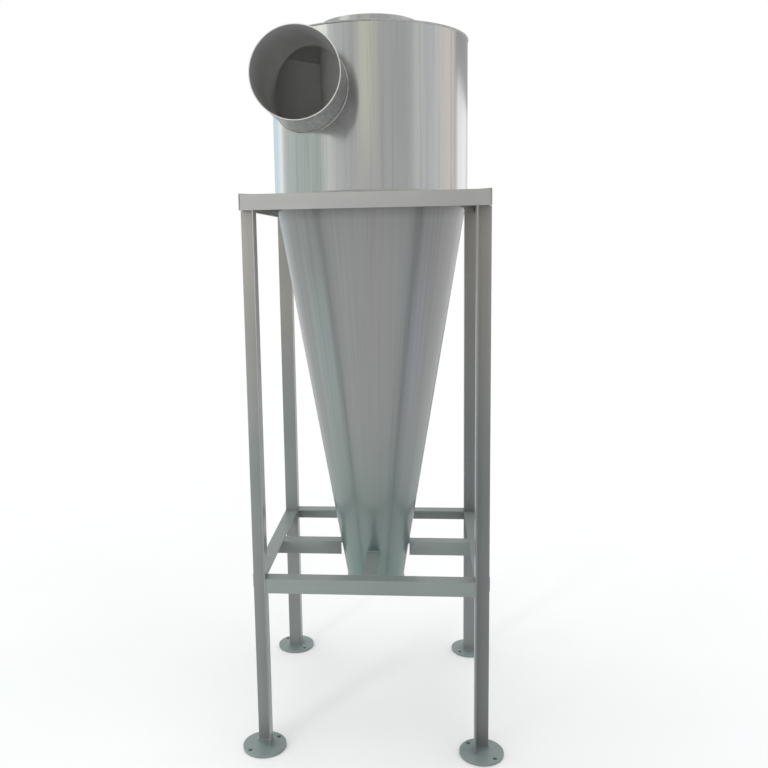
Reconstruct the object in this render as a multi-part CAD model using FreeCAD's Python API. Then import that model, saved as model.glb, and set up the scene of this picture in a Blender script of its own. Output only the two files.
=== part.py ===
import FreeCAD, Part
import math
import os

# Cyclone dust separator: a sheet-steel barrel and cone carried by a four-legged
# stand of rolled angle. Millimetres. The origin is on the floor under the centre
# of the stand, +Z is up, and the inlet pipe opens towards -Y.

# Body
barrel_radius = 341.0        # outside of the barrel
barrel_length = 518.0        # from the support ring up to the top cover
sheet = 3.0                  # wall of barrel, cone, cover and pipes
cover_lip = 2.0              # how far the top cover stands past the barrel
spout_radius = 105.0         # outside of the dust spout, and of the cone's lower end
spout_length = 35.0
spout_clearance = 450.0      # floor to the open end of the spout

# Pipes
inlet_radius = 135.0         # outside of the inlet pipe
inlet_reach = 219.0          # how far its mouth stands in front of the barrel
inlet_inset = 22.0           # from the barrel's side to the side of the inlet pipe
inlet_drop = 56.0            # from the barrel's top edge to the top of the inlet pipe
outlet_radius = 172.0        # outside of the outlet pipe
outlet_rise = 60.0           # how far it stands above the top cover
outlet_dip = 30.0            # how far its lower end hangs below the inlet pipe

# Stand
angle_size = 50.0            # flange of the rolled angle
angle_wall = 5.0
stand_height = 1894.0        # floor to the top of the top frame
lower_rail_height = 622.0    # floor to the top of the lower rails
frame_clearance = 4.0        # between the barrel's outline and the top frame
ring_thickness = 5.0
ring_overhang = 39.0         # how far the support ring stands past the barrel
foot_radius = 75.0
foot_thickness = 10.0
anchor_circle = 120.0        # diameter of the circle the two holes of a foot lie on
anchor_hole_radius = 7.0

# Fit
weld_gap = 0.3               # between curved faces that are welded together

# Worked out from the sizes above
ring_radius = barrel_radius + ring_overhang
frame_half = barrel_radius + frame_clearance + angle_size
leg_outer = frame_half + angle_wall
leg_heel = leg_outer - angle_size
leg_centre = leg_outer - angle_size / 2
rail_soffit = stand_height - angle_size
barrel_base = stand_height + ring_thickness
barrel_top = barrel_base + barrel_length
cover_top = barrel_top + sheet
cone_base = spout_clearance + spout_length
cone_slope = (barrel_radius - spout_radius) / (stand_height - cone_base)
inlet_x = inlet_inset + inlet_radius - barrel_radius
inlet_z = barrel_top - inlet_drop - inlet_radius
inlet_mouth = -(barrel_radius + inlet_reach)
outlet_base = inlet_z - inlet_radius - outlet_dip
outlet_top = cover_top + outlet_rise

UP = FreeCAD.Vector(0, 0, 1)
ORIGIN = FreeCAD.Vector(0, 0, 0)


def at(x, y, z):
    return FreeCAD.Vector(x, y, z)


def block(low, high):
    """A box between two opposite corners."""
    size = high - low
    return Part.makeBox(size.x, size.y, size.z, low)


def prism(points, travel):
    """A flat outline pushed along a vector."""
    outline = Part.makePolygon(points + [points[0]])
    return Part.Face(outline).extrude(travel)


def tube(radius, wall, base, top):
    """An upright pipe on the Z axis, open at both ends."""
    outside = Part.makeCylinder(radius, top - base, at(0, 0, base), UP)
    inside = Part.makeCylinder(radius - wall, top - base, at(0, 0, base), UP)
    return outside.cut(inside)


def turned(shape, degrees):
    """A copy turned about the Z axis."""
    copy = shape.copy()
    copy.rotate(ORIGIN, UP, degrees)
    return copy


def mirrored(shape, normal):
    return shape.mirror(ORIGIN, normal)


def cone_radius(z):
    """Outside radius of the cone at a height."""
    return spout_radius + cone_slope * (z - cone_base)


def leg(side_x, side_y):
    """An angle with its heel towards the centre, coped to fit inside the top frame."""
    corners = [
        (leg_heel, leg_heel),
        (leg_outer, leg_heel),
        (leg_outer, leg_heel + angle_wall),
        (leg_heel + angle_wall, leg_heel + angle_wall),
        (leg_heel + angle_wall, leg_outer),
        (leg_heel, leg_outer),
    ]
    points = [at(side_x * x, side_y * y, foot_thickness) for x, y in corners]
    bar = prism(points, at(0, 0, stand_height - angle_wall - foot_thickness))
    inside = frame_half - angle_wall
    socket = block(at(-inside, -inside, rail_soffit), at(inside, inside, stand_height))
    above = block(at(-leg_outer, -leg_outer, rail_soffit), at(leg_outer, leg_outer, stand_height))
    return bar.cut(above.cut(socket))


def foot_plate(side_x, side_y):
    """A round plate under a leg, with two anchor holes on its outward diagonal."""
    centre = at(side_x * leg_centre, side_y * leg_centre, 0)
    plate = Part.makeCylinder(foot_radius, foot_thickness, centre, UP)
    offset = anchor_circle / 2 * math.sqrt(0.5)
    for way in (-1, 1):
        place = centre + at(way * side_x * offset, way * side_y * offset, 0)
        plate = plate.cut(Part.makeCylinder(anchor_hole_radius, foot_thickness, place, UP))
    return plate


def top_rail():
    """The front rail of the top frame, mitred: one flange outside, the other on top."""
    outer = -frame_half
    bottom = rail_soffit
    section = [
        at(outer, outer, bottom),
        at(outer, outer + angle_wall, bottom),
        at(outer, outer + angle_wall, stand_height - angle_wall),
        at(outer, outer + angle_size, stand_height - angle_wall),
        at(outer, outer + angle_size, stand_height),
        at(outer, outer, stand_height),
    ]
    bar = prism(section, at(2 * frame_half, 0, 0))
    inner = frame_half - angle_size
    mitre = [
        at(-frame_half, -frame_half, bottom),
        at(frame_half, -frame_half, bottom),
        at(inner, -inner, bottom),
        at(-inner, -inner, bottom),
    ]
    return bar.common(prism(mitre, at(0, 0, angle_size)))


def lower_rail():
    """The front rail low on the stand, butted between the two front legs."""
    outer = -leg_outer
    top = lower_rail_height
    section = [
        at(-leg_heel, outer, top - angle_size),
        at(-leg_heel, outer + angle_wall, top - angle_size),
        at(-leg_heel, outer + angle_wall, top - angle_wall),
        at(-leg_heel, outer + angle_size, top - angle_wall),
        at(-leg_heel, outer + angle_size, top),
        at(-leg_heel, outer, top),
    ]
    return prism(section, at(2 * leg_heel, 0, 0))


def cone_stay():
    """The right-hand stay: its top flange is shaped to the cone, and its upright
    flange is cut square there and runs on under the lower rail's top flange."""
    half = angle_size / 2
    top = lower_rail_height
    touch = cone_radius(top) + weld_gap
    shelf = block(at(touch / 2, -half, top - angle_wall), at(leg_heel, half, top))
    height = stand_height - cone_base
    cone = Part.makeCone(
        spout_radius + weld_gap, barrel_radius + weld_gap, height, at(0, 0, cone_base), UP)
    web = block(at(touch, -half, top - angle_size),
                at(leg_outer - angle_wall, angle_wall - half, top - angle_wall))
    return shelf.cut(cone).fuse(web).removeSplitter()


def support_ring():
    """The flat ring that lies on the top frame and carries the barrel and cone."""
    return tube(ring_radius, ring_radius - barrel_radius + sheet, stand_height, barrel_base)


def barrel_shell():
    """The barrel, with the inlet's opening cut through its front wall."""
    shell = tube(barrel_radius, sheet, barrel_base, barrel_top)
    opening = Part.makeCylinder(
        inlet_radius - sheet, -inlet_mouth, at(inlet_x, inlet_mouth, inlet_z), at(0, 1, 0))
    return shell.cut(opening)


def inlet_pipe():
    """A round pipe that meets the barrel near its left side, cut to its curve."""
    start = at(inlet_x, inlet_mouth, inlet_z)
    outside = Part.makeCylinder(inlet_radius, -inlet_mouth, start, at(0, 1, 0))
    inside = Part.makeCylinder(inlet_radius - sheet, -inlet_mouth, start, at(0, 1, 0))
    barrel = Part.makeCylinder(
        barrel_radius + weld_gap, 2 * barrel_length, at(0, 0, barrel_base - barrel_length / 2), UP)
    return outside.cut(inside).cut(barrel)


def top_cover():
    """The flat cover, with a hole that the outlet pipe passes through."""
    radius = barrel_radius + cover_lip
    return tube(radius, radius - outlet_radius - weld_gap, barrel_top, cover_top)


def outlet_pipe():
    return tube(outlet_radius, sheet, outlet_base, outlet_top)


def cone_shell():
    """The cone, of sheet as thick across its slope as the barrel's."""
    height = stand_height - cone_base
    wall = sheet * math.sqrt(1 + cone_slope ** 2)
    outside = Part.makeCone(spout_radius, barrel_radius, height, at(0, 0, cone_base), UP)
    inside = Part.makeCone(
        spout_radius - wall, barrel_radius - wall, height, at(0, 0, cone_base), UP)
    return outside.cut(inside)


def dust_spout():
    return tube(spout_radius, sheet, spout_clearance, cone_base)


def corner_pieces():
    """The legs and their feet."""
    pieces = {}
    for end, side_y in (("front", -1), ("rear", 1)):
        for side, side_x in (("left", -1), ("right", 1)):
            pieces["leg_" + end + "_" + side] = leg(side_x, side_y)
            pieces["foot_plate_" + end + "_" + side] = foot_plate(side_x, side_y)
    return pieces


def side_pieces():
    """The rails of both frames and the stays, one of each on every side."""
    pieces = {}
    for turn, side in enumerate(("front", "right", "rear", "left")):
        pieces["top_rail_" + side] = turned(top_rail(), 90 * turn)
        pieces["lower_rail_" + side] = turned(lower_rail(), 90 * turn)
    right_stay = cone_stay()
    front_stay = turned(right_stay, -90)
    pieces["cone_stay_right"] = right_stay
    pieces["cone_stay_left"] = mirrored(right_stay, at(1, 0, 0))
    pieces["cone_stay_front"] = front_stay
    pieces["cone_stay_rear"] = mirrored(front_stay, at(0, 1, 0))
    return pieces


def body_pieces():
    return {
        "support_ring": support_ring(),
        "barrel_shell": barrel_shell(),
        "top_cover": top_cover(),
        "inlet_pipe": inlet_pipe(),
        "outlet_pipe": outlet_pipe(),
        "cone_shell": cone_shell(),
        "dust_spout": dust_spout(),
    }


def main():
    os.makedirs("parts", exist_ok=True)
    pieces = {}
    pieces.update(corner_pieces())
    pieces.update(side_pieces())
    pieces.update(body_pieces())
    for name, shape in pieces.items():
        shape.exportStep("parts/" + name + ".step")
        print(name, len(shape.Solids), "solid", round(shape.Volume / 1000.0, 1), "cm3")


main()
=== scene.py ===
import math

import bmesh
import bpy
from mathutils import Matrix, Vector


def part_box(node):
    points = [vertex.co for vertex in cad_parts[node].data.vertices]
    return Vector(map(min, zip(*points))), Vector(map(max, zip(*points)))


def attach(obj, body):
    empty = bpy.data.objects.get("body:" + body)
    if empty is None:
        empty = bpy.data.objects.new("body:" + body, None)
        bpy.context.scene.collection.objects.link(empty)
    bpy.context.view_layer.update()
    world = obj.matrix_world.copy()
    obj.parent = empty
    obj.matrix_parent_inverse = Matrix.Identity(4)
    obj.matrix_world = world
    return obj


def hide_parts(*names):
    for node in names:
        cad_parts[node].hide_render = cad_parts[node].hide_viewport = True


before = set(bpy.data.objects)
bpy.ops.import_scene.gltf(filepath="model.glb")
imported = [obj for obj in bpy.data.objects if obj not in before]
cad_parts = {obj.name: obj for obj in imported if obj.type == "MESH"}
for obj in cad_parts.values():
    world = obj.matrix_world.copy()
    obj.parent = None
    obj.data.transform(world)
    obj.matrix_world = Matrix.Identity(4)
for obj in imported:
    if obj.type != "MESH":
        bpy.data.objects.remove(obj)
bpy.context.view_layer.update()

mm = 0.001
print("cyclone: frame loaded,", len(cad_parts), "nodes")


# the machine's own sizes are read from the frame
def span(nodeName, axis):
    low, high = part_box(nodeName)
    return low[axis], high[axis]


barrelFoot, barrelTop = span("barrel_shell", 2)
barrelRadius = span("barrel_shell", 0)[1]
coverTop = span("top_cover", 2)[1]
ringFoot = span("support_ring", 2)[0]
ringRadius = span("support_ring", 0)[1]
coneFoot, coneTop = span("cone_shell", 2)
spoutRadius = span("dust_spout", 0)[1]
outletRadius = span("outlet_pipe", 0)[1]
inletLeft, inletRight = span("inlet_pipe", 0)
inletLow, inletHigh = span("inlet_pipe", 2)
inletMouth = span("inlet_pipe", 1)[0]
inletX = (inletLeft + inletRight) / 2
inletZ = (inletLow + inletHigh) / 2
inletRadius = (inletRight - inletLeft) / 2
coneSlope = (barrelRadius - spoutRadius) / (coneTop - coneFoot)
wall = 3 * mm  # sheet of the body and pipes


def coneRadius(z):
    return spoutRadius + coneSlope * (z - coneFoot)


def addNode(tree, kind, sockets=None, **settings):
    made = tree.nodes.new(kind)
    for setting, value in settings.items():
        setattr(made, setting, value)
    for socket, value in (sockets or {}).items():
        if isinstance(value, bpy.types.NodeSocket):
            tree.links.new(value, made.inputs[socket])
        else:
            made.inputs[socket].default_value = value
    return made


def calc(tree, operation, first, second=0.0):
    return addNode(tree, "ShaderNodeMath", {0: first, 1: second}, operation=operation).outputs[0]


def rescale(tree, value, low, high, newLow, newHigh):
    return addNode(tree, "ShaderNodeMapRange", {
        "Value": value, "From Min": low, "From Max": high,
        "To Min": newLow, "To Max": newHigh}).outputs["Result"]


def alongAxis(tree, place, axis):
    return addNode(tree, "ShaderNodeSeparateXYZ", {0: place}).outputs["xyz".index(axis)]


def shaded(tree, colour, value):
    return addNode(tree, "ShaderNodeHueSaturation", {"Color": colour, "Value": value}).outputs[0]


def scaled(stretch, share):
    return tuple(value * share for value in stretch)


def stretchedNoise(tree, place, stretch, detail=3.0, grit=0.5):
    moved = addNode(tree, "ShaderNodeMapping", {"Vector": place, "Scale": stretch})
    return addNode(tree, "ShaderNodeTexNoise", {
        "Vector": moved.outputs[0], "Scale": 1.0, "Detail": detail,
        "Roughness": grit}).outputs["Fac"]


def blendColour(tree, share, first, second):
    made = addNode(tree, "ShaderNodeMix", data_type="RGBA")
    tree.links.new(share, made.inputs[0])
    for index, colour in ((6, first), (7, second)):
        if isinstance(colour, bpy.types.NodeSocket):
            tree.links.new(colour, made.inputs[index])
        else:
            made.inputs[index].default_value = (*colour, 1)
    return made.outputs[2]


# settled dust inside the body; near the open inlet it is darkened, a painted shade inside the pipe's
# mouth
dust = {"tone": (0.76, 0.76, 0.75), "pale": (0.84, 0.84, 0.82), "flecks": (30.0, 30.0, 30.0),
        "film": (0.27, 0.27, 0.27), "filmDepth": 0.32, "roughness": 0.92,
        "blend": 0.4 * mm, "topBlend": 0.3 * mm, "edgeFrom": 0.5 * mm, "edgeTo": 1.2 * mm,
        "edgeTone": (0.80, 0.80, 0.79), "coverRise": 0.4 * mm}

# marks that all the sheet steel shares
sheetMarks = {"driftShare": 0.4, "lineShare": 4.0, "lineValue": 0.90,
              "smudges": (3.1, 3.1, 1.7), "smudgeRoughness": 0.7, "coatRoughness": 0.10,
              "streaksFrom": (0.35, 0.65), "warmFrom": (0.45, 0.7), "warmMost": 0.8,
              "linesFrom": (0.52, 0.66), "roughFrom": (0.3, 0.7), "smudgesFrom": (0.5, 0.8),
              # these two set how patchy the painted shade under the cone's ring is, and its faintest
              # share
              "underRingShadeFrom": (0.3, 0.6), "underRingShadeLeast": 0.7}

# sheet steel of the body: streaks and grain run the way the sheet was rolled
sheetLooks = {
    "barrelSteel": {
        "bright": (0.62, 0.63, 0.62), "dull": (0.56, 0.57, 0.57), "warm": (0.62, 0.61, 0.58),
        "roughness": (0.12, 0.19), "streak": (5.5, 5.5, 0.25), "grain": (300.0, 300.0, 5.0),
        "wave": (0.95, 0.95, 1.1), "waveDepth": 1.3 * mm, "grainDepth": 0.008 * mm,
        "metal": 1.0},
    "coverSteel": {
        "bright": (0.42, 0.425, 0.42), "dull": (0.34, 0.345, 0.34), "warm": (0.40, 0.39, 0.36),
        "roughness": (0.30, 0.46), "streak": (3.5, 3.5, 3.5), "grain": (200.0, 200.0, 200.0),
        "wave": (1.6, 1.6, 1.6), "waveDepth": 1.0 * mm, "grainDepth": 0.008 * mm,
        "metal": 0.8},
    "coneSteel": {
        "bright": (0.252, 0.259, 0.257), "dull": (0.222, 0.233, 0.230), "warm": (0.252, 0.25, 0.245),
        "roughness": (0.36, 0.44), "streak": (4.5, 4.5, 0.20), "grain": (260.0, 260.0, 5.0),
        "wave": (0.8, 0.8, 0.9), "waveDepth": 0.7 * mm, "grainDepth": 0.006 * mm,
        # the last two here darken the cone just under the ring, a painted shade
        "metal": 0.72, "lacquer": 0.55, "underRingShade": 0.64, "underRingShadeDepth": 0.085,
        # the greener, darker colour towards the dust outlet is a painted shade with a painted green
        # floor reflection
        "foot": (0.172, 0.235, 0.220), "footFade": (0.55, 1.15)},
    "inletSteel": {
        "bright": (0.25, 0.25, 0.246), "dull": (0.175, 0.178, 0.178), "warm": (0.215, 0.211, 0.204),
        "roughness": (0.26, 0.42), "streak": (11.0, 11.0, 40.0), "grain": (95.0, 95.0, 240.0),
        "wave": (6.0, 6.0, 20.0), "waveDepth": 0.6 * mm, "grainDepth": 0.07 * mm,
        "metal": 1.0},
    "outletSteel": {
        "bright": (0.58, 0.58, 0.575), "dull": (0.49, 0.50, 0.50), "warm": (0.57, 0.56, 0.54),
        "roughness": (0.18, 0.30), "streak": (4.0, 4.0, 6.0), "grain": (120.0, 120.0, 30.0),
        "wave": (4.5, 4.5, 22.0), "waveDepth": 0.8 * mm, "grainDepth": 0.008 * mm,
        "metal": 1.0},
}

# paint of the stand: tone drifts from warm at the top to green-grey near the floor, a painted shade
# with a painted green floor bounce
paintLooks = {
    "railPaint": {
        "upper": (0.33, 0.326, 0.316), "lower": (0.30, 0.304, 0.297), "fade": (1.80, 1.90),
        "roughness": (0.34, 0.46), "across": 60.0, "along": 1.8},
    "standPaint": {
        "upper": (0.28, 0.27, 0.256), "lower": (0.178, 0.213, 0.205), "fade": (0.45, 1.80),
        "roughness": (0.34, 0.48), "across": 70.0, "along": 1.6},
    "legPaint": {
        "upper": (0.285, 0.272, 0.250), "lower": (0.170, 0.183, 0.181), "fade": (1.00, 1.85),
        "roughness": (0.34, 0.48), "across": 70.0, "along": 1.6},
    "footPaint": {
        "upper": (0.215, 0.265, 0.257), "lower": (0.18, 0.225, 0.215), "fade": (0.0, 0.05),
        "roughness": (0.42, 0.58), "across": 22.0, "along": 22.0},
}

# marks that all the paint shares
paintMarks = {"clouds": (4.0, 4.0, 2.6), "peel": (260.0, 260.0, 260.0),
              "scuffs": (26.0, 26.0, 26.0), "darkValue": 0.86, "wornValue": 1.13,
              "cloudsFrom": (0.4, 0.7), "cloudsMost": 0.7, "rollFrom": (0.45, 0.75),
              "rollMost": 0.45, "wornFrom": (0.60, 0.74), "wornMost": 0.5,
              "roughFrom": (0.3, 0.7), "scuffFrom": (0.58, 0.74), "scuffRoughness": 0.10,
              "coat": 0.35, "coatRoughness": 0.22, "rollDepth": 0.05 * mm,
              "peelDepth": 0.012 * mm}

weldLook = {"bright": (0.50, 0.51, 0.50), "dull": (0.34, 0.35, 0.35), "warm": (0.44, 0.41, 0.37),
            "roughness": (0.32, 0.50), "streak": (60.0, 60.0, 60.0),
            "grain": (500.0, 500.0, 500.0), "wave": (120.0, 120.0, 120.0),
            "waveDepth": 0.15 * mm, "grainDepth": 0.010 * mm, "metal": 1.0}


def axialPlace(tree, place, hollow):
    # (across/radius, across/radius, along) and the distance from the wall's middle line
    parts = addNode(tree, "ShaderNodeSeparateXYZ", {0: place}).outputs
    first, second, along = (0, 2, 1) if hollow["axis"] == "y" else (0, 1, 2)
    one = calc(tree, "SUBTRACT", parts[first], hollow["centre"][0])
    two = calc(tree, "SUBTRACT", parts[second], hollow["centre"][1])
    radius = calc(tree, "SQRT", calc(tree, "ADD", calc(tree, "MULTIPLY", one, one),
                                     calc(tree, "MULTIPLY", two, two)))
    taper = calc(tree, "MULTIPLY", calc(tree, "SUBTRACT", parts[along], hollow["from"]),
                 hollow["slope"])
    wallAt = calc(tree, "ADD", taper, hollow["radius"])
    around = addNode(tree, "ShaderNodeCombineXYZ", {
        0: calc(tree, "DIVIDE", one, radius), 1: calc(tree, "DIVIDE", two, radius),
        2: parts[along]}).outputs[0]
    return around, calc(tree, "SUBTRACT", radius, wallAt)


def startMaterial(name):
    material = bpy.data.materials.new(name)
    material.use_nodes = True
    material.node_tree.nodes.clear()
    place = addNode(material.node_tree, "ShaderNodeTexCoord").outputs["Object"]
    return material, material.node_tree, place


def innerFace(tree, place, depth, hollow):
    # 1 on the dusty side of the sheet, 0 on its clean side
    dusty = rescale(tree, depth, -dust["blend"], dust["blend"], 1.0, 0.0) if depth else 0.0
    if "dustyBelow" in hollow:
        under = rescale(tree, alongAxis(tree, place, "z"),
                        hollow["dustyBelow"] - dust["topBlend"], hollow["dustyBelow"], 1.0, 0.0)
        dusty = calc(tree, "MAXIMUM", dusty, under)
    return dusty


def steel(name, look, hollow=None):
    material, tree, place = startMaterial(name)
    around, depth = place, None
    if hollow and "axis" in hollow:
        around, depth = axialPlace(tree, place, hollow)
    streaks = stretchedNoise(tree, around, look["streak"], 4.0, 0.55)
    drift = stretchedNoise(tree, around, scaled(look["streak"], sheetMarks["driftShare"]), 2.0)
    grain = stretchedNoise(tree, around, look["grain"], 2.0)
    waves = stretchedNoise(tree, around, look["wave"], 1.0, 0.4)
    lines = stretchedNoise(tree, around, scaled(look["streak"], sheetMarks["lineShare"]), 3.0, 0.7)
    smudges = stretchedNoise(tree, place, sheetMarks["smudges"], 3.0, 0.5)

    colour = blendColour(tree, rescale(tree, streaks, *sheetMarks["streaksFrom"], 0.0, 1.0),
                         look["bright"], look["dull"])
    warmed = rescale(tree, drift, *sheetMarks["warmFrom"], 0.0, sheetMarks["warmMost"])
    colour = blendColour(tree, warmed, colour, look["warm"])
    colour = blendColour(tree, rescale(tree, lines, *sheetMarks["linesFrom"], 0.0, 1.0), colour,
                         shaded(tree, colour, sheetMarks["lineValue"]))
    low, high = look["roughness"]
    roughness = calc(tree, "ADD",
                     rescale(tree, streaks, *sheetMarks["roughFrom"], low, high),
                     rescale(tree, smudges, *sheetMarks["smudgesFrom"], 0.0,
                             (high - low) * sheetMarks["smudgeRoughness"]))
    shader = addNode(tree, "ShaderNodeBsdfPrincipled", {"Metallic": look["metal"]})
    if "lacquer" in look:
        shader.inputs["Coat Weight"].default_value = look["lacquer"]
        shader.inputs["Coat Roughness"].default_value = sheetMarks["coatRoughness"]
    if "foot" in look:
        # painted shade and painted green floor reflection: the colour is greener and darker towards
        # the dust outlet
        above = rescale(tree, alongAxis(tree, place, "z"), *look["footFade"], 0.0, 1.0)
        colour = blendColour(tree, above, look["foot"], colour)
    if "underRingShade" in look:
        # painted shade: the cone is darkened in patches just under the ring
        nearRing = rescale(tree, alongAxis(tree, place, "z"), coneTop - look["underRingShadeDepth"],
                           coneTop, 0.0, 1.0)
        patchy = rescale(tree, smudges, *sheetMarks["underRingShadeFrom"], sheetMarks["underRingShadeLeast"], 1.0)
        colour = blendColour(tree, calc(tree, "MULTIPLY", nearRing, patchy), colour,
                             shaded(tree, colour, 1 - look["underRingShade"]))
    if hollow:
        dusty = innerFace(tree, place, depth, hollow)
        flecks = stretchedNoise(tree, place, dust["flecks"], 5.0, 0.6)
        dustTone = blendColour(tree, flecks, dust["tone"], dust["pale"])
        if "mouth" in hollow:
            # painted shade: inside the inlet the dust is dark near the mouth and pale deeper in
            way = alongAxis(tree, place, "y")
            deep = rescale(tree, way, hollow["mouth"], hollow["mouth"] + dust["filmDepth"],
                           0.0, 1.0)
            dustTone = blendColour(tree, calc(tree, "MULTIPLY", deep, deep), dust["film"],
                                   dustTone)
            cutEdge = rescale(tree, way, hollow["mouth"] + dust["edgeFrom"],
                              hollow["mouth"] + dust["edgeTo"], 1.0, 0.0)
            colour = blendColour(tree, cutEdge, colour, dust["edgeTone"])
            dusty = calc(tree, "MULTIPLY", dusty, calc(tree, "SUBTRACT", 1.0, cutEdge))
        colour = blendColour(tree, dusty, colour, dustTone)
        roughness = addNode(tree, "ShaderNodeMix", {
            0: dusty, 2: roughness, 3: dust["roughness"]}, data_type="FLOAT").outputs[0]
        clean = calc(tree, "SUBTRACT", 1.0, dusty)
        tree.links.new(calc(tree, "MULTIPLY", clean, look["metal"]), shader.inputs["Metallic"])
    tree.links.new(colour, shader.inputs["Base Color"])
    tree.links.new(roughness, shader.inputs["Roughness"])
    rolled = addNode(tree, "ShaderNodeBump", {
        "Height": waves, "Strength": 1.0, "Distance": look["waveDepth"]})
    brushed = addNode(tree, "ShaderNodeBump", {
        "Height": grain, "Strength": 1.0, "Distance": look["grainDepth"],
        "Normal": rolled.outputs[0]})
    tree.links.new(brushed.outputs[0], shader.inputs["Normal"])
    addNode(tree, "ShaderNodeOutputMaterial", {"Surface": shader.outputs[0]})
    return material


def paint(name, look, axis):
    material, tree, place = startMaterial(name)
    stretch = tuple(look["along"] if letter == axis else look["across"] for letter in "xyz")
    rolled = stretchedNoise(tree, place, stretch, 3.0, 0.5)
    cloudy = stretchedNoise(tree, place, paintMarks["clouds"], 3.0, 0.5)
    peel = stretchedNoise(tree, place, paintMarks["peel"], 2.0)
    scuffs = stretchedNoise(tree, place, paintMarks["scuffs"], 6.0, 0.7)
    # painted shade and painted green floor bounce: lighter and warmer high up, darker and greener
    # low down
    top = rescale(tree, alongAxis(tree, place, "z"), *look["fade"], 0.0, 1.0)
    tone = blendColour(tree, top, look["lower"], look["upper"])
    dark = shaded(tree, tone, paintMarks["darkValue"])
    clouded = rescale(tree, cloudy, *paintMarks["cloudsFrom"], 0.0, paintMarks["cloudsMost"])
    tone = blendColour(tree, clouded, tone, dark)
    lined = rescale(tree, rolled, *paintMarks["rollFrom"], 0.0, paintMarks["rollMost"])
    tone = blendColour(tree, lined, tone, dark)
    worn = rescale(tree, scuffs, *paintMarks["wornFrom"], 0.0, paintMarks["wornMost"])
    tone = blendColour(tree, worn, tone, shaded(tree, tone, paintMarks["wornValue"]))
    low, high = look["roughness"]
    roughness = calc(tree, "ADD",
                     rescale(tree, cloudy, *paintMarks["roughFrom"], low, high),
                     rescale(tree, scuffs, *paintMarks["scuffFrom"], 0.0,
                             paintMarks["scuffRoughness"]))
    shader = addNode(tree, "ShaderNodeBsdfPrincipled", {
        "Base Color": tone, "Roughness": roughness, "Metallic": 0.0,
        "Coat Weight": paintMarks["coat"], "Coat Roughness": paintMarks["coatRoughness"]})
    soft = addNode(tree, "ShaderNodeBump", {
        "Height": rolled, "Strength": 1.0, "Distance": paintMarks["rollDepth"]})
    fine = addNode(tree, "ShaderNodeBump", {
        "Height": peel, "Strength": 1.0, "Distance": paintMarks["peelDepth"],
        "Normal": soft.outputs[0]})
    tree.links.new(fine.outputs[0], shader.inputs["Normal"])
    addNode(tree, "ShaderNodeOutputMaterial", {"Surface": shader.outputs[0]})
    return material


def upright(radius, slope=0.0, start=0.0):
    return {"axis": "z", "centre": (0.0, 0.0), "radius": radius - wall / 2,
            "slope": slope, "from": start}


barrelSteel = steel("barrelSteel", sheetLooks["barrelSteel"], upright(barrelRadius))
coverSteel = steel("coverSteel", sheetLooks["coverSteel"],
                   {"dustyBelow": barrelTop + dust["coverRise"]})
outletSteel = steel("outletSteel", sheetLooks["outletSteel"],
                    {**upright(outletRadius), "dustyBelow": barrelTop})
inletSteel = steel("inletSteel", sheetLooks["inletSteel"], {
    "axis": "y", "centre": (inletX, inletZ), "radius": inletRadius - wall / 2,
    "slope": 0.0, "from": 0.0, "mouth": inletMouth})
coneSteel = steel("coneSteel", sheetLooks["coneSteel"],
                  upright(spoutRadius, coneSlope, coneFoot))
spoutSteel = steel("spoutSteel", sheetLooks["coneSteel"], upright(spoutRadius))
weldSteel = steel("weldSteel", weldLook)
railPaint = {axis: paint("railPaint" + axis.upper(), paintLooks["railPaint"], axis)
             for axis in "xy"}
standPaint = {axis: paint("standPaint" + axis.upper(), paintLooks["standPaint"], axis)
              for axis in "xyz"}
legPaint = paint("legPaint", paintLooks["legPaint"], "z")
footPaint = paint("footPaint", paintLooks["footPaint"], "z")
print("cyclone: finishes made")


def dress(nodeName, material):
    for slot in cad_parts[nodeName].material_slots:
        slot.material = material


dress("barrel_shell", barrelSteel)
dress("cone_shell", coneSteel)
dress("dust_spout", spoutSteel)


# rolled angle has a rounded root, rounded toes and eased arrises
angleLook = {"rootRadius": 6.0 * mm, "rootSteps": 5, "toeRadius": 2.6 * mm, "toeSteps": 3,
             "arris": 0.7 * mm, "arrisSteps": 2, "shortest": 20 * mm, "straightness": 0.9}
plateLook = {"arris": 0.8 * mm, "arrisSteps": 3, "mouthReach": 0.1 * mm}
# how a copy's loose triangles are merged; a corner is sharper than cornerAngle, in radians
copyLook = {"merge": 0.01 * mm, "flatDegrees": 0.4, "creaseDegrees": 38, "cornerAngle": 1.0}


def mergedCopy(nodeName):
    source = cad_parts[nodeName]
    work = bmesh.new()
    work.from_mesh(source.data)
    work.transform(source.matrix_world)
    bmesh.ops.remove_doubles(work, verts=work.verts, dist=copyLook["merge"])
    bmesh.ops.dissolve_limit(work, angle_limit=math.radians(copyLook["flatDegrees"]),
                             verts=work.verts, edges=work.edges)
    return work


def finishCopy(work, pieceName, nodeName, material):
    mesh = bpy.data.meshes.new(pieceName)
    work.to_mesh(mesh)
    work.free()
    mesh.materials.append(material)
    mesh.shade_smooth()
    mesh.set_sharp_from_angle(angle=math.radians(copyLook["creaseDegrees"]))
    piece = bpy.data.objects.new(pieceName, mesh)
    bpy.context.scene.collection.objects.link(piece)
    weighted = piece.modifiers.new("flatFaces", "WEIGHTED_NORMAL")
    weighted.keep_sharp = True
    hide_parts(nodeName)
    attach(piece, "root")
    return piece


def isCorner(edge):
    return len(edge.link_faces) == 2 and edge.calc_face_angle(0) > copyLook["cornerAngle"]


def roundEdges(work, edges, offset, segments):
    edges = [edge for edge in edges if edge.is_valid]
    if edges:
        bmesh.ops.bevel(work, geom=edges, offset=offset, segments=segments, profile=0.5,
                        affect="EDGES", clamp_overlap=True)


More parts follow.
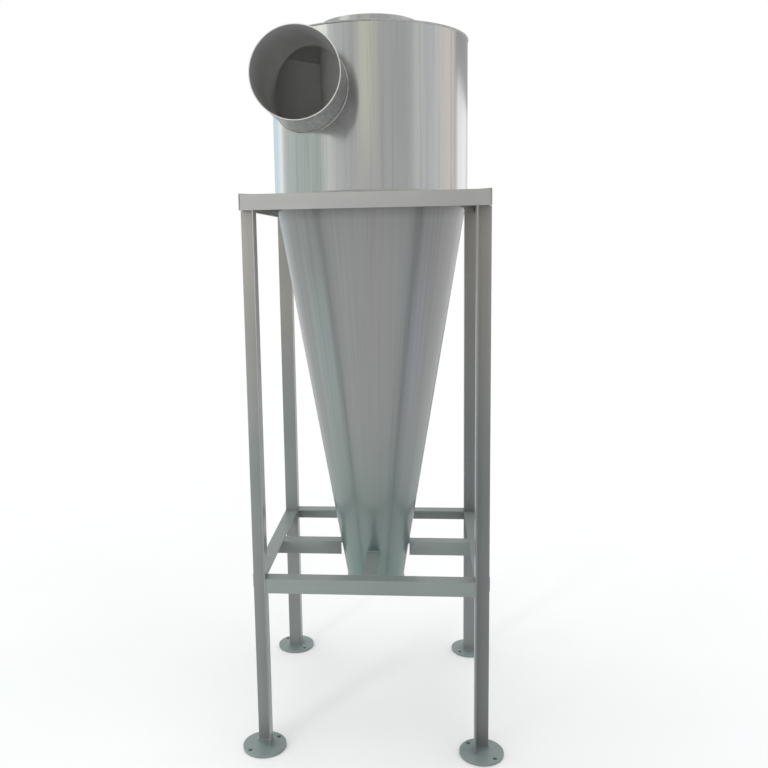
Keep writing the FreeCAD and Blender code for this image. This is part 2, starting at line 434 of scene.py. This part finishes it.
def rolledAngle(nodeName, material):
    low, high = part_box(nodeName)
    size = Vector(high) - Vector(low)
    axis = max(range(3), key=lambda index: size[index])
    work = mergedCopy(nodeName)

    def runsAlong(edge):
        way = edge.verts[1].co - edge.verts[0].co
        return (way.length > angleLook["shortest"] and
                abs(way[axis]) > angleLook["straightness"] * way.length)

    corners = [edge for edge in work.edges if runsAlong(edge) and isCorner(edge)]
    roots = [edge for edge in corners if not edge.is_convex]
    innerFaces = {face for edge in roots for face in edge.link_faces}
    outer = [edge for edge in corners if edge.is_convex]
    toes = [edge for edge in outer if innerFaces & set(edge.link_faces)]
    others = [edge for edge in outer if edge not in toes]
    roundEdges(work, others, angleLook["arris"], angleLook["arrisSteps"])
    roundEdges(work, toes, angleLook["toeRadius"], angleLook["toeSteps"])
    roundEdges(work, roots, angleLook["rootRadius"], angleLook["rootSteps"])
    return finishCopy(work, nodeName + "_bar", nodeName, material)


for end in ("front", "rear"):
    for side in ("left", "right"):
        rolledAngle("leg_" + end + "_" + side, legPaint)
for side, way, other in (("front", "x", "y"), ("right", "y", "x"),
                         ("rear", "x", "y"), ("left", "y", "x")):
    rolledAngle("top_rail_" + side, railPaint[way])
    rolledAngle("lower_rail_" + side, standPaint[way])
    rolledAngle("cone_stay_" + side, standPaint[other])
print("cyclone: rolled angle made")


def easedPlate(nodeName, material, chosen=None):
    work = mergedCopy(nodeName)
    rims = [edge for edge in work.edges if isCorner(edge) and (chosen is None or chosen(edge))]
    roundEdges(work, rims, plateLook["arris"], plateLook["arrisSteps"])
    return finishCopy(work, nodeName + "_eased", nodeName, material)


def atMouth(edge):
    return all(abs(vert.co.y - inletMouth) < plateLook["mouthReach"] for vert in edge.verts)


for end in ("front", "rear"):
    for side in ("left", "right"):
        easedPlate("foot_plate_" + end + "_" + side, footPaint)
easedPlate("support_ring", railPaint["x"])
easedPlate("top_cover", coverSteel)
easedPlate("outlet_pipe", outletSteel)
easedPlate("inlet_pipe", inletSteel, atMouth)
print("cyclone: plates and pipes made")


# every weld bead is swept along its seam by one node tree
beadLook = {"radius": 3 * mm, "pitch": 5.5 * mm, "depth": 0.20, "wander": 0.34,
            "wanderScale": 42.0, "seed": 4, "seedStep": 1.7, "stepsPerRipple": 5, "sides": 8}


def beadTree():
    tree = bpy.data.node_groups.new("weldBead", "GeometryNodeTree")
    face = tree.interface
    face.new_socket("Geometry", in_out="INPUT", socket_type="NodeSocketGeometry")
    for label, value in (("Bead Radius", beadLook["radius"]), ("Ripple Pitch", beadLook["pitch"]),
                         ("Ripple Depth", beadLook["depth"]), ("Wander", beadLook["wander"])):
        made = face.new_socket(label, in_out="INPUT", socket_type="NodeSocketFloat")
        made.default_value = value
    seed = face.new_socket("Seed", in_out="INPUT", socket_type="NodeSocketInt")
    seed.default_value = beadLook["seed"]
    face.new_socket("Material", in_out="INPUT", socket_type="NodeSocketMaterial")
    face.new_socket("Geometry", in_out="OUTPUT", socket_type="NodeSocketGeometry")
    given = addNode(tree, "NodeGroupInput").outputs

    path = addNode(tree, "GeometryNodeMeshToCurve", {"Mesh": given["Geometry"]})
    step = calc(tree, "DIVIDE", given["Ripple Pitch"], beadLook["stepsPerRipple"])
    even = addNode(tree, "GeometryNodeResampleCurve", {"Curve": path.outputs[0]}, mode="LENGTH")
    tree.links.new(step, even.inputs["Length"])
    along = addNode(tree, "GeometryNodeSplineParameter").outputs["Length"]
    turns = calc(tree, "DIVIDE", calc(tree, "MULTIPLY", along, math.pi), given["Ripple Pitch"])
    hump = calc(tree, "ABSOLUTE", calc(tree, "SINE", turns))
    ripple = calc(tree, "MULTIPLY", calc(tree, "SUBTRACT", hump, 1.0), given["Ripple Depth"])
    place = addNode(tree, "GeometryNodeInputPosition").outputs[0]
    roam = addNode(tree, "ShaderNodeTexNoise", {
        "Vector": place, "W": calc(tree, "MULTIPLY", given["Seed"], beadLook["seedStep"]),
        "Scale": beadLook["wanderScale"], "Detail": 2.0}, noise_dimensions="4D").outputs["Fac"]
    sway = calc(tree, "MULTIPLY", calc(tree, "SUBTRACT", roam, 0.5), given["Wander"])
    width = calc(tree, "ADD", calc(tree, "ADD", ripple, 1.0), sway)
    profile = addNode(tree, "GeometryNodeCurvePrimitiveCircle", {
        "Resolution": beadLook["sides"], "Radius": given["Bead Radius"]})
    swept = addNode(tree, "GeometryNodeCurveToMesh", {
        "Curve": even.outputs[0], "Profile Curve": profile.outputs[0], "Scale": width,
        "Fill Caps": True})
    soft = addNode(tree, "GeometryNodeSetShadeSmooth", {"Geometry": swept.outputs[0]})
    real = addNode(tree, "GeometryNodeRealizeInstances", {"Geometry": soft.outputs[0]})
    coated = addNode(tree, "GeometryNodeSetMaterial", {
        "Geometry": real.outputs[0], "Material": given["Material"]})
    addNode(tree, "NodeGroupOutput", {"Geometry": coated.outputs[0]})
    return tree


weldTree = beadTree()


def layBeads(pieceName, paths, radius, seed, material=weldSteel):
    seams = bmesh.new()
    for points, closed in paths:
        verts = [seams.verts.new(point) for point in points]
        pairs = list(zip(verts, verts[1:])) + ([(verts[-1], verts[0])] if closed else [])
        for pair in pairs:
            seams.edges.new(pair)
    mesh = bpy.data.meshes.new(pieceName + "Path")
    seams.to_mesh(mesh)
    seams.free()
    carrier = bpy.data.objects.new(pieceName + "Path", mesh)
    bpy.context.scene.collection.objects.link(carrier)
    bead = carrier.modifiers.new("weldBead", "NODES")
    bead.node_group = weldTree
    values = {"Bead Radius": radius, "Seed": seed, "Material": material}
    for item in weldTree.interface.items_tree:
        if item.in_out == "INPUT" and item.name in values:
            bead[item.identifier] = values[item.name]
    graph = bpy.context.evaluated_depsgraph_get()
    plain = bpy.data.meshes.new_from_object(carrier.evaluated_get(graph))
    plain.name = pieceName
    carrier.modifiers.remove(bead)
    bpy.data.objects.remove(carrier)
    piece = bpy.data.objects.new(pieceName, plain)
    bpy.context.scene.collection.objects.link(piece)
    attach(piece, "root")
    return piece


def ringPath(radius, z, steps=240):
    turn = 2 * math.pi / steps
    return [Vector((radius * math.cos(turn * index), radius * math.sin(turn * index), z))
            for index in range(steps)], True


def arcPath(radius, z, middle, sweep, steps=40):
    first = math.radians(middle - sweep / 2)
    turn = math.radians(sweep) / steps
    return [Vector((radius * math.cos(first + turn * index),
                    radius * math.sin(first + turn * index), z))
            for index in range(steps + 1)], False


def saddlePath(out, steps=200):
    points = []
    for index in range(steps):
        angle = 2 * math.pi * index / steps
        x = inletX + (inletRadius + out) * math.cos(angle)
        z = inletZ + (inletRadius + out) * math.sin(angle)
        points.append(Vector((x, -math.sqrt((barrelRadius + out) ** 2 - x * x), z)))
    return points, True


def linePath(first, last):
    return [Vector(first), Vector(last)], False


def onSide(degrees, radius, z):
    angle = math.radians(degrees)
    return Vector((radius * math.cos(angle), radius * math.sin(angle), z))


# fillets stand out from their corners, flush seams are sunk into the sheet
seamLook = {"fillet": 3.0 * mm, "out": 0.9 * mm, "sunk": 1.5 * mm, "flush": 2.3 * mm,
            "barrelAt": -35.5, "coneAt": 118.0, "outletAt": 140.0, "rimIn": 0.4 * mm,
            "shortAtFoot": 3 * mm, "shortAtRim": 2 * mm, "ringIn": 0.3 * mm,
            "spoutOut": 0.2 * mm, "spoutSteps": 90}


def uprightSeam(at, radius, low, high):
    return linePath(onSide(at, radius - seamLook["sunk"], low),
                    onSide(at, radius - seamLook["sunk"], high))


layBeads("weld_barrel_fillets", [
    ringPath(barrelRadius + seamLook["out"], barrelFoot + seamLook["out"]),
    ringPath(barrelRadius - seamLook["rimIn"], barrelTop - seamLook["rimIn"]),
    ringPath(outletRadius + seamLook["out"], coverTop + seamLook["out"]),
    saddlePath(seamLook["out"])], seamLook["fillet"], 4)
layBeads("weld_barrel_seam", [
    uprightSeam(seamLook["barrelAt"], barrelRadius, barrelFoot + seamLook["shortAtFoot"],
                barrelTop - seamLook["shortAtRim"]),
    uprightSeam(seamLook["outletAt"], outletRadius, coverTop + seamLook["shortAtFoot"],
                span("outlet_pipe", 2)[1] - seamLook["shortAtFoot"])],
    seamLook["flush"], 9)
layBeads("weld_cone", [
    ringPath(barrelRadius + seamLook["out"] - seamLook["ringIn"], ringFoot - seamLook["out"]),
    ringPath(spoutRadius + seamLook["spoutOut"], coneFoot, seamLook["spoutSteps"])],
    seamLook["fillet"], 14)
layBeads("weld_cone_seam", [
    linePath(onSide(seamLook["coneAt"], coneRadius(coneFoot) - seamLook["sunk"], coneFoot),
             onSide(seamLook["coneAt"], coneRadius(coneTop) - seamLook["sunk"], coneTop))],
    seamLook["flush"], 17)
print("cyclone: body welds laid")


standSeams = {"radius": 2.4 * mm, "mitreFrom": 2 * mm, "sunk": 0.4 * mm,
              "angleWall": 5 * mm}
standWelds = []
footTop = span("foot_plate_front_left", 2)[1]
legLow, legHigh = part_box("leg_rear_right")
heel, toe = legLow[0], legHigh[0]
railIn, railOut = span("top_rail_right", 0)
railFoot, railTop = span("top_rail_right", 2)
lowFoot, lowTop = span("lower_rail_front", 2)
stayTouch = span("cone_stay_right", 0)[0]
out = seamLook["out"]
mitre = railIn + standSeams["mitreFrom"]
edge = toe - standSeams["sunk"]
inner = heel + standSeams["angleWall"] + out

for sx in (-1, 1):
    for sy in (-1, 1):
        outline = [(heel - out, heel - out), (toe + out, heel - out), (toe + out, inner),
                   (inner, inner), (inner, toe + out), (heel - out, toe + out)]
        standWelds.append(([Vector((sx * x, sy * y, footTop + out)) for x, y in outline], True))
        # mitre of the top frame, across its flange and down its corner
        standWelds.append(linePath((sx * mitre, sy * mitre, railTop),
                                   (sx * railOut, sy * railOut, railTop)))
        standWelds.append(linePath((sx * railOut, sy * railOut, railFoot),
                                   (sx * railOut, sy * railOut, railTop)))
        # where the lower rails meet the legs
        standWelds.append(linePath((sx * heel, sy * edge, lowFoot),
                                   (sx * heel, sy * edge, lowTop)))
        standWelds.append(linePath((sx * edge, sy * heel, lowFoot),
                                   (sx * edge, sy * heel, lowTop)))
layBeads("weld_stand", standWelds, standSeams["radius"], 21, standPaint["z"])

# on each side: stay to cone, support ring to top rail, stay to lower rail
staySeams = {"radius": 2.2 * mm, "halfOnCone": 23 * mm, "halfOnRail": 25 * mm,
             "lift": 0.2 * mm, "ringTurn": 8, "ringSweep": 26, "coneSteps": 16, "ringSteps": 30}
stayWelds = []
sweep = 2 * math.degrees(math.asin(staySeams["halfOnCone"] / stayTouch))
for turn in range(4):
    stayWelds.append(arcPath(coneRadius(lowTop) + out, lowTop + out, 90 * turn, sweep,
                             staySeams["coneSteps"]))
    stayWelds.append(arcPath(ringRadius + out, ringFoot + out,
                             90 * turn + staySeams["ringTurn"], staySeams["ringSweep"],
                             staySeams["ringSteps"]))
    turned = Matrix.Rotation(math.radians(90 * turn), 3, "Z")
    ends = [turned @ Vector((heel, side * staySeams["halfOnRail"], lowTop + staySeams["lift"]))
            for side in (-1, 1)]
    stayWelds.append(linePath(*ends))
layBeads("weld_stays", stayWelds, staySeams["radius"], 30, standPaint["z"])
print("cyclone: stand welds laid")


studio = {
    "floorTone": (0.86, 0.86, 0.855), "floorShade": (0.83, 0.83, 0.828), "floorHalf": 30.0,
    "floorMottle": (1.5, 1.5, 1.5), "floorRough": 0.8,
    "zenith": (1.40, 1.40, 1.41), "zenithAt": (0.30, 0.75), "backdrop": (1.0, 1.0, 1.0),
    "ringGain": 1.29, "awning": (0.44, 0.44, 0.45), "awningFrom": 121, "awningHigh": 0.180,
    "awningLow": 0.125, "awningBlur": 0.012, "awningTop": 0.36,
    # patches between two bearings, full above one height, gone below another
    "patches": {
        "window": {"tone": (1.45, 1.45, 1.38), "between": (-65, -45), "blur": 1.0,
                   "above": (0.212, 0.222)},
        "doorway": {"tone": (0.75, 0.75, 0.66), "between": (-9, 10), "blur": 6.0,
                    "above": (0.085, 0.150)}},
    # tone of the surroundings by bearing: 0 in front, positive to the right
    "bearings": {
        -180: (0.50, 0.50, 0.50), -166: (0.52, 0.53, 0.53), -158: (0.60, 0.64, 0.66),
        -151: (0.64, 0.74, 0.80), -140: (0.56, 0.74, 0.88),
        -128: (0.98, 1.00, 1.02), -116: (0.52, 0.55, 0.54), -96: (0.47, 0.53, 0.51),
        -56: (0.42, 0.46, 0.44), -49: (0.61, 0.62, 0.61), -32: (0.53, 0.54, 0.53),
        -18: (0.46, 0.46, 0.46), 15: (0.42, 0.43, 0.43), 50: (0.41, 0.42, 0.42),
        57: (0.56, 0.56, 0.56), 74: (0.51, 0.52, 0.54), 86: (0.57, 0.58, 0.61),
        100: (0.68, 0.64, 0.62), 117: (0.64, 0.61, 0.60), 121: (0.42, 0.42, 0.43),
        126: (1.00, 1.00, 1.00), 150: (0.96, 0.96, 0.96), 162: (0.60, 0.60, 0.60),
        180: (0.50, 0.50, 0.50)},
}


def makeWorld():
    world = bpy.data.worlds.new("studioWorld")
    world.use_nodes = True
    tree = world.node_tree
    tree.nodes.clear()
    way = addNode(tree, "ShaderNodeTexCoord").outputs["Generated"]
    parts = addNode(tree, "ShaderNodeSeparateXYZ", {0: way}).outputs
    bearing = calc(tree, "ARCTAN2", parts[0], calc(tree, "MULTIPLY", parts[1], -1.0))
    share = rescale(tree, bearing, -math.pi, math.pi, 0.0, 1.0)
    ramp = addNode(tree, "ShaderNodeValToRGB", {0: share})
    stops = sorted(studio["bearings"].items())
    marks = ramp.color_ramp.elements
    while len(marks) < len(stops):
        marks.new(0.5)
    for mark, (degrees, colour) in zip(marks, stops):
        mark.position = (degrees + 180) / 360
        mark.color = (*(tone * studio["ringGain"] for tone in colour), 1)
    overhead = rescale(tree, parts[2], *studio["zenithAt"], 0.0, 1.0)
    colour = blendColour(tree, overhead, ramp.outputs[0], studio["zenith"])
    # a grey awning high up behind the right-hand side
    edge = rescale(tree, bearing, math.radians(studio["awningFrom"]), math.pi,
                   studio["awningHigh"], studio["awningLow"])
    above = rescale(tree, calc(tree, "SUBTRACT", parts[2], edge), 0.0, studio["awningBlur"],
                    0.0, 1.0)
    within = calc(tree, "MULTIPLY", above, calc(
        tree, "GREATER_THAN", bearing, math.radians(studio["awningFrom"])))
    covered = calc(tree, "MULTIPLY", within,
                   calc(tree, "LESS_THAN", parts[2], studio["awningTop"]))
    colour = blendColour(tree, covered, colour, studio["awning"])
    for patch in studio["patches"].values():
        first, last = (math.radians(side) for side in patch["between"])
        blur = math.radians(patch["blur"])
        past = rescale(tree, bearing, first - blur, first + blur, 0.0, 1.0)
        before = rescale(tree, bearing, last - blur, last + blur, 1.0, 0.0)
        high = rescale(tree, parts[2], *patch["above"], 0.0, 1.0)
        inside = calc(tree, "MULTIPLY", calc(tree, "MULTIPLY", past, before), high)
        colour = blendColour(tree, inside, colour, patch["tone"])
    around = addNode(tree, "ShaderNodeBackground", {"Color": colour})
    plain = addNode(tree, "ShaderNodeBackground", {"Color": (*studio["backdrop"], 1)})
    seen = addNode(tree, "ShaderNodeLightPath").outputs["Is Camera Ray"]
    sky = addNode(tree, "ShaderNodeMixShader", {0: seen, 1: around.outputs[0],
                                                2: plain.outputs[0]})
    addNode(tree, "ShaderNodeOutputWorld", {"Surface": sky.outputs[0]})
    bpy.context.scene.world = world


def makeFloor():
    half = studio["floorHalf"]
    mesh = bpy.data.meshes.new("studioFloor")
    mesh.from_pydata([(-half, -half, 0), (half, -half, 0), (half, half, 0), (-half, half, 0)],
                     [], [(0, 1, 2, 3)])
    material = bpy.data.materials.new("studioFloor")
    material.use_nodes = True
    tree = material.node_tree
    tree.nodes.clear()
    place = addNode(tree, "ShaderNodeTexCoord").outputs["Object"]
    mottle = stretchedNoise(tree, place, studio["floorMottle"], 2.0)
    shader = addNode(tree, "ShaderNodeBsdfPrincipled", {
        "Base Color": blendColour(tree, mottle, studio["floorTone"], studio["floorShade"]),
        "Roughness": studio["floorRough"]})
    addNode(tree, "ShaderNodeOutputMaterial", {"Surface": shader.outputs[0]})
    mesh.materials.append(material)
    floor = bpy.data.objects.new("studioFloor", mesh)
    bpy.context.scene.collection.objects.link(floor)


# one narrow strip lights the stand's left, a faint spot the dusty inlet; two low fills
# tint what the cone mirrors
lamps = {
    "leftStrip": {"place": (-2.2, -3.0, 1.5), "aim": (-0.50, -0.40, 1.20), "width": 0.5,
                  "height": 2.4, "spread": 36, "power": 5.5, "tone": (1.0, 1.0, 1.0),
                  "mirrored": False},
    "inletFill": {"place": (0.10, -2.8, 1.80), "aim": (-0.184, -0.40, 2.226), "width": 0.15,
                  "height": 0.15, "spread": 16, "power": 0.045, "tone": (1.0, 1.0, 1.0),
                  "mirrored": False},
    "leftFill": {"place": (-2.3, -0.6, 0.5), "aim": (0.0, -0.1, 0.9), "width": 1.7,
                 "height": 0.9, "spread": 170, "power": 1.4, "tone": (0.15, 1.0, 0.85),
                 "mirrored": True},
    "rightFill": {"place": (2.3, -0.9, 0.5), "aim": (0.0, -0.1, 0.9), "width": 1.7,
                  "height": 0.9, "spread": 170, "power": 1.4, "tone": (0.35, 0.40, 1.0),
                  "mirrored": True},
}


def makeLamps():
    for name, look in lamps.items():
        lamp = bpy.data.lights.new(name, "AREA")
        lamp.shape = "RECTANGLE"
        lamp.size = look["width"]
        lamp.size_y = look["height"]
        lamp.spread = math.radians(look["spread"])
        lamp.energy = look["power"]
        lamp.color = look["tone"]
        holder = bpy.data.objects.new(name, lamp)
        holder.location = look["place"]
        aim = Vector(look["aim"]) - Vector(look["place"])
        holder.rotation_euler = aim.to_track_quat("-Z", "Y").to_euler()
        holder.visible_camera = False
        holder.visible_glossy = look["mirrored"]
        bpy.context.scene.collection.objects.link(holder)


cameraLook = {"place": (0.1801, -3.0616, 1.7296), "yaw": -0.0898, "pitch": 0.1438,
              "roll": -0.0178, "lens": 39.43, "sensor": 36.0, "shift": (0.0476, -0.0224)}


def makeCamera():
    yaw, pitch, roll = cameraLook["yaw"], cameraLook["pitch"], cameraLook["roll"]
    ahead = Vector((math.sin(yaw) * math.cos(pitch), math.cos(yaw) * math.cos(pitch),
                    -math.sin(pitch)))
    level = Vector((math.cos(yaw), -math.sin(yaw), 0))
    over = level.cross(ahead)
    right = math.cos(roll) * level + math.sin(roll) * over
    up = -math.sin(roll) * level + math.cos(roll) * over
    data = bpy.data.cameras.new("mainCamera")
    data.lens = cameraLook["lens"]
    data.sensor_width = cameraLook["sensor"]
    data.sensor_fit = "HORIZONTAL"
    data.shift_x, data.shift_y = cameraLook["shift"]
    camera = bpy.data.objects.new("mainCamera", data)
    turn = Matrix((right, up, -ahead)).transposed().to_4x4()
    camera.matrix_world = Matrix.Translation(cameraLook["place"]) @ turn
    bpy.context.scene.collection.objects.link(camera)
    bpy.context.scene.camera = camera


makeWorld()
makeFloor()
makeLamps()
makeCamera()
bpy.context.scene.view_settings.view_transform = "Standard"
print("cyclone: studio ready")
